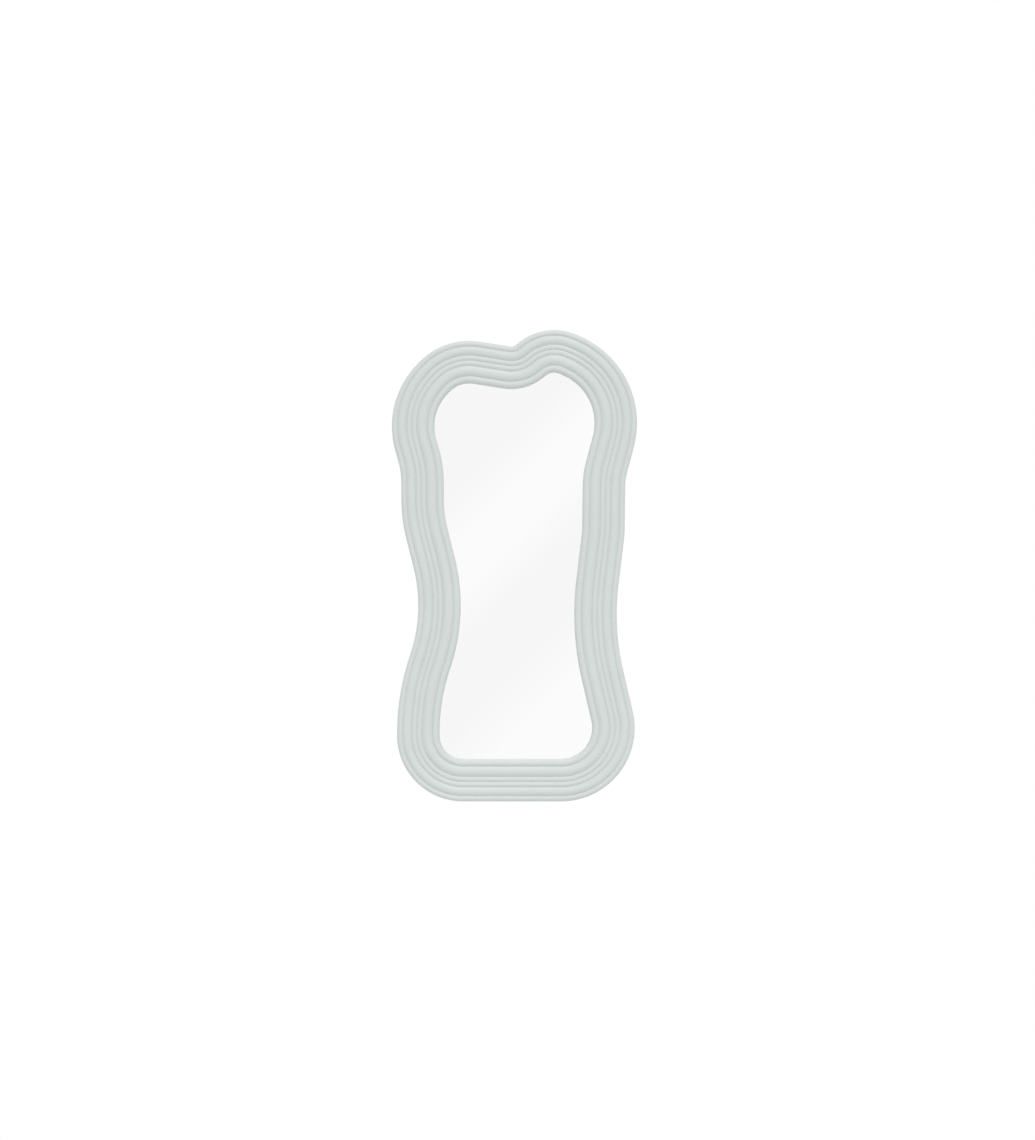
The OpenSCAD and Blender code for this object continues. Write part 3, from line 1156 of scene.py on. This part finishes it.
@dataclass
class WoodScrew:
    """A cross-recessed wood screw. It is drawn with its seat at the origin and its tip along -Y."""

    head: ScrewHead
    head_height: float
    length: float = 16.0 * MM
    head_d: float = 7.0 * MM
    thread_d: float = 3.46 * MM
    core_d: float = 2.3 * MM
    plain: float = 4.0 * MM
    tip_length: float = 4.6 * MM
    sides: int = 32
    dome_steps: int = 10
    rim: float = 0.25 * MM
    rim_turn: float = 70.0
    rim_steps: int = 4
    recess_w: float = 4.0 * MM
    recess_slot: float = 0.95 * MM
    recess_depth: float = 1.5 * MM
    recess_taper: tuple[float, float, float] = (0.35, 1.0, 0.6)
    pitch: float = 1.5 * MM
    thread_sink: float = 0.05 * MM
    thread_half: float = 0.3 * MM
    thread_start: float = 5.52 * MM
    thread_steps: int = 20
    smooth: float = 30.0
    finish: ZincPlate = ZincPlate("zinc_screw", roughness=0.34)

    def build(self) -> Piece:
        """Turn the body, cut the recess and wind the thread.

        Returns:
            The finished screw.
        """
        body = self._turned_body()
        body.combine(self._cross())
        self._split(body)
        body.shade(self.smooth)
        screw = Piece.join([body, self._thread()], "screw")
        screw.dress(self.finish.material())
        return screw

    def _top(self) -> float:
        """The y of the head's top."""
        return self.head_height if self.head is ScrewHead.ROUND else 0.0

    def _turned_body(self) -> Piece:
        """Draw half of the screw's profile and turn it round its axis.

        Returns:
            The body, without its recess and thread.
        """
        pen = Pen("screw_body", BACK * self._top())
        radius, core, shank = self.head_d / 2, self.core_d / 2, self.thread_d / 2
        if self.head is ScrewHead.ROUND:
            dome = (radius ** 2 + self.head_height ** 2) / (2 * self.head_height)
            turn = math.degrees(math.asin(radius / dome))
            pen.arc(BACK * (self._top() - dome), -UP, turn, self.dome_steps)
            corners = [(shank, 0.0)]
        else:
            flat = radius - self.rim
            pen.line(RIGHT * flat)
            pen.arc(RIGHT * flat - BACK * self.rim, -UP, self.rim_turn, self.rim_steps)
            corners = [(shank, -self.head_height)]
        corners += [(shank, -self.plain), (core, -self.plain - (shank - core)),
                    (core, self.tip_length - self.length), (0.0, -self.length)]
        for across, along in corners:
            pen.line(RIGHT * across + BACK * along)
        return pen.turned(self.sides, self.smooth)

    def _blade(self, turn: float) -> Piece:
        """Make one blade of the driver, which is as broad as the recess at the head's top.

        Args:
            turn: How far the blade is turned round the screw's axis, in radians.

        Returns:
            The blade.
        """
        blade = Piece.start(bpy.ops.mesh.primitive_cube_add, size=1.0)
        mesh = blade.shape.data
        mesh.transform(Matrix.Diagonal((self.recess_w, 2 * self.recess_depth, self.recess_slot, 1.0)))
        foot = Vector(self.recess_taper)
        mouth = 2 * (RIGHT + BACK + UP) - foot
        for facing, sizes in ((FRONT, foot), (BACK, mouth)):
            blade.take(lambda face: face.center.dot(facing) > self.recess_depth - MERGE_GAP)
            bpy.ops.transform.resize(value=sizes, center_override=CENTRE)
            blade.leave()
        mesh.transform(Matrix.Translation(BACK * self._top()) @ Matrix.Rotation(turn, 4, "Y"))
        return blade

    def _cross(self) -> Piece:
        """Make the driver's shape: two crossed blades that narrow with depth.

        Returns:
            The shape.
        """
        blade = self._blade(0.0)
        blade.combine(self._blade(math.pi / 2), "UNION")
        return blade

    @staticmethod
    def _split(body: Piece) -> None:
        """Split the cut body into well shaped triangles, and drop any that have no area.

        Args:
            body: The body, in object mode.
        """
        body.edit()
        body.take_all()
        bpy.ops.mesh.quads_convert_to_tris(quad_method="BEAUTY", ngon_method="BEAUTY")
        bpy.ops.mesh.dissolve_degenerate(threshold=MERGE_GAP)
        body.leave()

    def _thread(self) -> Piece:
        """Wind the thread: a sharp ridge round the core.

        Returns:
            The thread.
        """
        foot, crest = self.core_d / 2 - self.thread_sink, self.thread_d / 2
        start = self.thread_start - self.length
        corners = [RIGHT * foot + BACK * (start - self.thread_half), RIGHT * crest + BACK * start,
                   RIGHT * foot + BACK * (start + self.thread_half)]
        pen = Pen("thread", corners[0])
        for corner in (*corners[1:], corners[0]):
            pen.line(corner)
        pen.merge()
        pen.leave()
        turns = int((-self.plain - (self.thread_d - self.core_d) / 2 - start) / self.pitch)
        pen.modify("SCREW", axis="Y", angle=2 * math.pi, screw_offset=self.pitch, iterations=turns,
                   steps=self.thread_steps, render_steps=self.thread_steps, use_merge_vertices=False)
        pen.edit()
        pen.take_all()
        bpy.ops.mesh.fill_holes(sides=len(corners))
        pen.close(self.smooth)
        return pen


@dataclass
class ScrewSet:
    """Several equal screws as one piece, each turned a little further than the one before."""

    pattern: WoodScrew
    places: list[Vector]
    first_turn: float
    turn_step: float

    def build(self, name: str, node: str) -> None:
        """Model one screw and drive its copies.

        Args:
            name: The piece's name.
            node: The construction node that it stands for.
        """
        moves = []
        for index, place in enumerate(self.places):
            turn = math.radians(self.first_turn + self.turn_step * index)
            moves.append(Matrix.Translation(place) @ Matrix.Rotation(turn, 4, "Y"))
        Piece.join(self.pattern.build().spread(moves), name).hang(MIRROR_BODY, "zinc_screw", node)


@dataclass
class BoardScrews:
    """The thirteen flat-headed screws round the edge of the back board.

    A spot is a lobe's number and a share of its turn, which above 1 goes on along the straight run
    behind the lobe.
    """

    outline: Outline
    screw: WoodScrew = field(default_factory=lambda: WoodScrew(ScrewHead.FLAT, 1.75 * MM))
    inset: float = 43.0 * MM
    spots: tuple[tuple[int, float], ...] = (
        (0, 0.15), (0, 0.62), (0, 1.5), (2, 0.5), (3, 0.5), (4, 0.95), (6, 0.5),
        (7, 0.75), (9, 0.4), (10, 0.5), (11, 0.5), (12, 0.5), (13, 0.55))
    turn_step: float = 37.0

    def places(self) -> list[Vector]:
        """Where the screws' heads lie, in the board's rear face."""
        seat = BACK * rear_of("back_board")
        return [self.outline.at(lobe, share, self.inset) + seat for lobe, share in self.spots]

    def build(self) -> None:
        """Drive the screws flush into the board."""
        ScrewSet(self.screw, self.places(), 0.0, self.turn_step).build("flat_screws", "board_screws")


class Side(Enum):
    """The mirror's sides, seen from the front."""

    LEFT = "left"
    RIGHT = "right"


@dataclass
class RingHanger:
    """A ring hanger: a strap rolled round the straight side of a ring, and its two screws."""

    side: Side
    wire_r: float = 1.4 * MM
    bore_r: float = 1.7 * MM
    sheet_t: float = 1.0 * MM
    strap_w: float = 16.0 * MM
    strap_len: float = 44.0 * MM
    roll: float = 303.0
    roll_steps: int = 34
    end_steps: int = 12
    end_share: float = 0.999
    edge_soft: float = 0.18 * MM
    edge_steps: int = 2
    edge_angle: float = 50.0
    hole_r: float = 1.95 * MM
    hole_sides: int = 32
    holes: tuple[float, ...] = (13.0 * MM, 33.0 * MM)
    ring_reach: float = 21.2 * MM
    ring_half_w: float = 11.6 * MM
    ring_corner: float = 3.0 * MM
    corner_steps: int = 8
    bow_steps: int = 32
    wire_sides: int = 20
    wire_smooth: float = 40.0
    play: float = 0.3 * MM
    plate: ZincPlate = ZincPlate()
    wire: ZincPlate = ZincPlate(
        "zinc_wire", draw=Grain(0.25 * MM, 2.0, 0.5, (1.0, 1.0, 6.0)), roughness=0.24)
    screw: WoodScrew = field(default_factory=lambda: WoodScrew(ScrewHead.ROUND, 2.4 * MM))
    first_turn: float = 25.0
    turn_step: float = 50.0
    pivot: Vector = field(init=False)

    def __post_init__(self) -> None:
        """Find the pivot: the axis of the loop, which lies on the board."""
        low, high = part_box(f"hanger_strap_{self.side.value}")
        outer = self.bore_r + self.sheet_t
        self.pivot = Vector(((low.x + high.x) / 2, rear_of("back_board") + outer, high.z - outer))

    def places(self) -> list[Vector]:
        """Where the screws go through the board's rear face."""
        seat = Vector((self.pivot.x, rear_of("back_board"), self.pivot.z))
        return [seat - UP * drop for drop in self.holes]

    def build(self) -> None:
        """Build the strap, the ring and the screws."""
        self._strap()
        self._ring()
        seats = [place + BACK * self.sheet_t for place in self.places()]
        ScrewSet(self.screw, seats, self.first_turn, self.turn_step).build(
            f"round_screws_{self.side.value}", f"hanger_screws_{self.side.value}")

    def _strap(self) -> None:
        """Roll the end of a strip, cut its holes and round its edges."""
        steel = self.pivot - BACK * (self.bore_r + self.sheet_t / 2)
        piece = Pen(f"strap_{self.side.value}", steel - RIGHT * (self.strap_w / 2))
        piece.pull(RIGHT * self.strap_w)
        piece.take_all()
        piece.swing(self.pivot, RIGHT, -math.radians(self.roll), self.roll_steps)
        piece.leave()
        piece.take(lambda vertex: (vertex.co - steel).yz.length < MERGE_GAP, "VERT")
        # A change of mode selects the edge between the two vertices
        bpy.ops.mesh.select_mode(type="EDGE")
        bpy.ops.mesh.select_mode(type="VERT")
        piece.pull(-UP * self.strap_len)
        bpy.ops.mesh.bevel(offset=self.strap_w / 2 * self.end_share, segments=self.end_steps,
                           affect="VERTICES", clamp_overlap=False)
        piece.close()
        piece.modify("SOLIDIFY", thickness=self.sheet_t, offset=0.0, use_even_offset=True)
        for drop in self.holes:
            piece.combine(self._punch(steel - UP * drop))
        piece.soften(self.edge_soft, self.edge_angle, self.edge_steps)
        piece.shade()
        piece.modify("WEIGHTED_NORMAL", keep_sharp=True)
        piece.dress(self.plate.material())
        piece.hang(MIRROR_BODY, "zinc_plate", f"hanger_strap_{self.side.value}")

    def _punch(self, place: Vector) -> Piece:
        """Make the shape of one punched hole.

        Args:
            place: The hole's middle.

        Returns:
            The shape.
        """
        punch = Piece.start(bpy.ops.mesh.primitive_cylinder_add, vertices=self.hole_sides,
                            radius=self.hole_r, depth=self.strap_w)
        punch.shape.data.transform(Matrix.Translation(place) @ Matrix.Rotation(math.pi / 2, 4, "X"))
        return punch

    def _ring(self) -> None:
        """Bend a wire into the ring and lean it back to the board."""
        arm, corner, reach = self.ring_half_w, self.ring_corner, self.ring_reach
        straight, upright = RIGHT * (arm - corner), UP * (reach - arm - corner)
        piece = Pen(f"ring_{self.side.value}", self.pivot + BACK * self.wire_r)
        piece.swing(self.pivot, RIGHT, 2 * math.pi, self.wire_sides)
        piece.merge()
        piece.pull(straight)
        piece.swing(self.pivot + straight + UP * corner, FRONT, math.pi / 2, self.corner_steps)
        piece.pull(upright)
        piece.swing(self.pivot + UP * (reach - arm), FRONT, math.pi, self.bow_steps)
        piece.pull(-upright)
        piece.swing(self.pivot - straight + UP * corner, FRONT, math.pi / 2, self.corner_steps)
        piece.pull(straight)
        piece.close(self.wire_smooth)
        lean = math.asin((self.bore_r + self.sheet_t - self.wire_r - self.play) / reach)
        home = Matrix.Translation(self.pivot)
        piece.shape.data.transform(home @ Matrix.Rotation(lean, 4, "X") @ home.inverted())
        piece.dress(self.wire.material())
        piece.hang(f"ring_{self.side.value}", "zinc_wire", f"hanger_ring_{self.side.value}")


@dataclass
class BackBoard:
    """The fibreboard that closes the recess, drilled for all the screws."""

    outline: Outline
    screws: BoardScrews
    hangers: list[RingHanger]
    inset: float = 31.0 * MM
    edge_soft: float = 0.4 * MM
    edge_angle: float = 60.0
    head_r: float = 3.5 * MM
    shank_r: float = 1.95 * MM
    pilot_r: float = 1.75 * MM
    overcut: float = 0.5 * MM
    drill_sides: int = 40
    finish: Fibreboard = Fibreboard()

    def build(self) -> None:
        """Saw the board out, break its edges and drill it."""
        piece = self.outline.sheet("back_panel", "back_board", self.inset)
        piece.soften(self.edge_soft, self.edge_angle)
        drills = self._drills(self.screws.places(), self.head_r, self.shank_r)
        for hanger in self.hangers:
            drills += self._drills(hanger.places(), self.pilot_r, self.pilot_r)
        piece.combine(Piece.join(drills, "drills"))
        piece.shade()
        piece.dress(self.finish.material())
        piece.hang(MIRROR_BODY, "fibreboard", "back_board")

    def _drills(self, places: list[Vector], mouth: float, bore: float) -> list[Piece]:
        """Make the shapes of equal holes, which narrow at 45 degrees from the mouth to the bore.

        Args:
            places: Where the holes start.
            mouth: The radius at the board's rear face.
            bore: The radius inside.

        Returns:
            The shapes.
        """
        lift = self.overcut if mouth > bore else 0.0
        depth = rear_of("back_board") - front_of("back_board") + self.overcut
        pen = Pen("drill", BACK * self.overcut)
        corners = (
            (mouth + lift, self.overcut), (bore, bore - mouth), (bore, -depth), (0.0, -depth))
        for across, along in corners:
            pen.line(RIGHT * across + BACK * along)
        return pen.turned(self.drill_sides).spread(map(Matrix.Translation, places))


@dataclass
class WallPads:
    """Four rubber pads on the rear rim that keep the mirror off the wall."""

    corners: tuple[str, ...] = ("lower_left", "lower_right", "upper_left", "upper_right")
    sides: int = 64
    soft: float = 0.8 * MM
    soft_steps: int = 5
    land: float = 2.2 * MM
    dish: float = 0.5 * MM
    flat_facing: float = 0.99
    rubber: Rubber = Rubber()

    def build(self) -> None:
        """Model one pad and stick its copies on the rim."""
        boxes = [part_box(f"wall_pad_{corner}") for corner in self.corners]
        low, high = boxes[0]
        pattern = Piece.start(bpy.ops.mesh.primitive_cylinder_add, vertices=self.sides,
                              radius=(high.x - low.x) / 2, depth=high.y - low.y)
        pattern.shape.data.transform(Matrix.Rotation(-math.pi / 2, 4, "X"))
        pattern.take(self._is_rear)
        bpy.ops.mesh.bevel(offset=self.soft, segments=self.soft_steps)
        pattern.leave()
        pattern.take(self._is_rear)
        bpy.ops.mesh.inset(thickness=self.land)
        bpy.ops.mesh.inset(thickness=self.dish)
        bpy.ops.transform.translate(value=-BACK * self.dish)
        pattern.close()
        pattern.dress(self.rubber.material())
        pads = pattern.spread(Matrix.Translation((low + high) / 2) for low, high in boxes)
        for corner, pad in zip(self.corners, pads):
            pad.rename(f"pad_{corner}")
            pad.hang(MIRROR_BODY, "pad_rubber", f"wall_pad_{corner}")

    def _is_rear(self, face: MeshPolygon) -> bool:
        """Whether a face looks straight at the wall."""
        return face.normal.y > self.flat_facing


@dataclass(frozen=True)
class FloorPaint:
    """Pale matt paint that fades out towards the floor's rim."""

    pale: Colour = srgb(246, 246, 245)
    deep: Colour = srgb(241, 241, 240)
    grit: Grain = Grain(4.0 * MM)
    roughness: float = 0.6
    fade: Span = (0.9, 1.68)

    def material(self) -> Material:
        """Paint over the middle of the floor, and nothing at its rim.

        Returns:
            The material.
        """
        shader = Shader.named("floor_paint")
        across, along = map(shader.axis, "XY")
        reach = (across * across + along * along).root()
        tint = shader.blend(self.pale, self.deep, shader.noise(self.grit))
        paint = shader.add("BsdfPrincipled", {"Base Color": tint, "Roughness": self.roughness})
        shader.output(shader.mix(paint, shader.add("BsdfTransparent"), reach.step(*self.fade)))
        return shader.owner


@dataclass(frozen=True)
class RoomLight:
    """What the mirror shows of the room: white with slanting grey bands, and dusk at the sides.

    A stop is a place on the glass, measured from its middle along the bands' slant in metres, and
    its colour.
    """

    centre: Vector
    spread: float
    side_span: Span
    end_span: Span
    grey: Colour = (0.965, 0.965, 0.966, 1.0)
    white: Colour = (1.012, 1.012, 1.012, 1.0)
    dusk: Colour = (0.74, 0.75, 0.76, 1.0)
    grey_places: tuple[float, ...] = (-0.299, 0.043, 0.203)
    white_places: tuple[float, ...] = (-0.171, -0.075, 0.363)
    reach: float = 0.6

    def material(self) -> Material:
        """A soft glow with its bands drawn by a ramp.

        Returns:
            The material.
        """
        shader = Shader.named("reflected_room")
        across, rise = shader.axis("X") - self.centre.x, shader.axis("Z") - self.centre.z
        bands = [(place, self.grey) for place in self.grey_places]
        bands += [(place, self.white) for place in self.white_places]
        stops = [((place / self.reach + 1.0) / 2, colour) for place, colour in sorted(bands)]
        slant = ((across - rise) / (self.spread * self.reach) + 1.0) / 2
        ramp = shader.add("ValToRGB", {0: slant}, stops=stops)
        room = shader.blend(ramp.outputs[0], self.dusk, abs(across).step(*self.side_span))
        glow = shader.blend(room, WHITE, abs(rise).step(*self.end_span))
        shader.output(shader.add("Emission", {"Color": glow, "Strength": PLAIN}))
        return shader.owner


@dataclass
class Studio:
    """A white studio with a pale floor, a soft key light, and the camera square to the mirror."""

    aim: Vector = Vector((6.5, -28.0, 490.9)) * MM
    distance: float = 6.0
    frame_height: float = 2.418
    sensor: float = 36.0
    ambient: float = 0.75
    key_from: Vector = Vector((0.4, -2.3, 3.0))
    key_strength: float = 0.98
    key_spread: float = 35.0
    fill_from: Vector = Vector((-1.2, 3.0, 1.8))
    fill_size: float = 2.0
    fill_power: float = 12.0
    floor_centre: Vector = Vector((0.0, -1.6, -0.75))
    floor_radius: float = 1.7
    floor_sides: int = 96
    floor_paint: FloorPaint = FloorPaint()
    room_radius: float = 8.0
    room_half_height: float = 3.2
    room_sweep: float = 150.0
    room_steps: int = 60
    side_span: Span = (2.24, 6.8)
    end_span: Span = (1.44, 3.2)

    def build(self) -> None:
        """Set up the colours, the world, the lamps, the floor, the screen and the camera."""
        bpy.context.scene.view_settings.view_transform = "Standard"
        self._world()
        self._lamps()
        self._floor()
        self._screen()
        self._camera()

    def _world(self) -> None:
        """White behind the mirror and in reflections, softer as a light."""
        world = bpy.data.worlds.new("studio")
        bpy.context.scene.world = world
        shader = Shader(world)
        rays = shader.add("LightPath").outputs
        camera, glossy, through = (
            Reading(shader, rays[f"Is {kind} Ray"]) for kind in ("Camera", "Glossy", "Transmission"))
        light, white = (
            shader.add("Background", {"Color": WHITE, "Strength": power})
            for power in (self.ambient, PLAIN))
        shader.output(shader.mix(light, white, (camera + glossy + through).clamped()), "OutputWorld")

    def _lamps(self) -> None:
        """A broad far key light from above and in front, and a weak square fill for the rear."""
        key, fill = bpy.data.lights.new("key", "SUN"), bpy.data.lights.new("fill", "AREA")
        key.energy, key.angle = self.key_strength, math.radians(self.key_spread)
        fill.shape, fill.size, fill.energy = "SQUARE", self.fill_size, self.fill_power
        self._hang(key, self.key_from, CENTRE)
        self._hang(fill, self.fill_from, self.aim)

    @staticmethod
    def _hang(lamp: Light, place: Vector, target: Vector) -> None:
        """Hang a lamp so that it looks at a target.

        Args:
            lamp: The lamp.
            place: Where it hangs.
            target: What it looks at.
        """
        hung = bpy.data.objects.new(lamp.name, lamp)
        hung.location = place
        hung.rotation_mode = "QUATERNION"
        hung.rotation_quaternion = (target - place).to_track_quat("-Z", "Y")
        bpy.context.scene.collection.objects.link(hung)

    def _floor(self) -> None:
        """A pale round floor under the mirror that fades out at its rim."""
        floor = Piece.start(bpy.ops.mesh.primitive_circle_add, vertices=self.floor_sides,
                            radius=self.floor_radius, fill_type="NGON", location=self.floor_centre)
        floor.rename("floor")
        floor.dress(self.floor_paint.material())

    def _screen(self) -> None:
        """The curved screen that the mirror shows and that nothing else sees."""
        foot = Vector((self.aim.x, -self.room_radius, self.aim.z - self.room_half_height))
        piece = Pen("reflected_room", foot)
        sweep = math.radians(self.room_sweep)
        piece.pull(UP * (2 * self.room_half_height))
        piece.take_all()
        bpy.ops.transform.rotate(value=sweep / 2, orient_axis="Z", center_override=CENTRE)
        piece.swing(CENTRE, UP, sweep, self.room_steps)
        piece.close()
        spread = (self.room_radius + self.distance) / self.distance
        piece.dress(RoomLight(self.aim, spread, self.side_span, self.end_span).material())
        for ray in ("camera", "diffuse", "transmission", "volume_scatter", "shadow"):
            setattr(piece.shape, f"visible_{ray}", False)

    def _camera(self) -> None:
        """Look square at the mirror from the front."""
        data = bpy.data.cameras.new("camera")
        data.sensor_width = self.sensor
        data.lens = self.sensor * self.distance / self.frame_height
        camera = bpy.data.objects.new("camera", data)
        camera.location = self.aim + FRONT * self.distance
        camera.rotation_euler = (math.pi / 2, 0.0, 0.0)
        bpy.context.scene.collection.objects.link(camera)
        bpy.context.scene.camera = camera


def main() -> None:
    """Build the mirror and the studio."""
    logging.basicConfig(level=logging.INFO, format="%(name)s: %(message)s")
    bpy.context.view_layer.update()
    outline = Outline()
    screws, hangers = BoardScrews(outline), [RingHanger(side) for side in Side]
    for assembly in (Studio(), Moulding(outline), MirrorGlass(outline), GlassBedding(),
                     BackBoard(outline, screws, hangers), screws, *hangers, WallPads()):
        assembly.build()


if __name__ == "__main__":
    main()
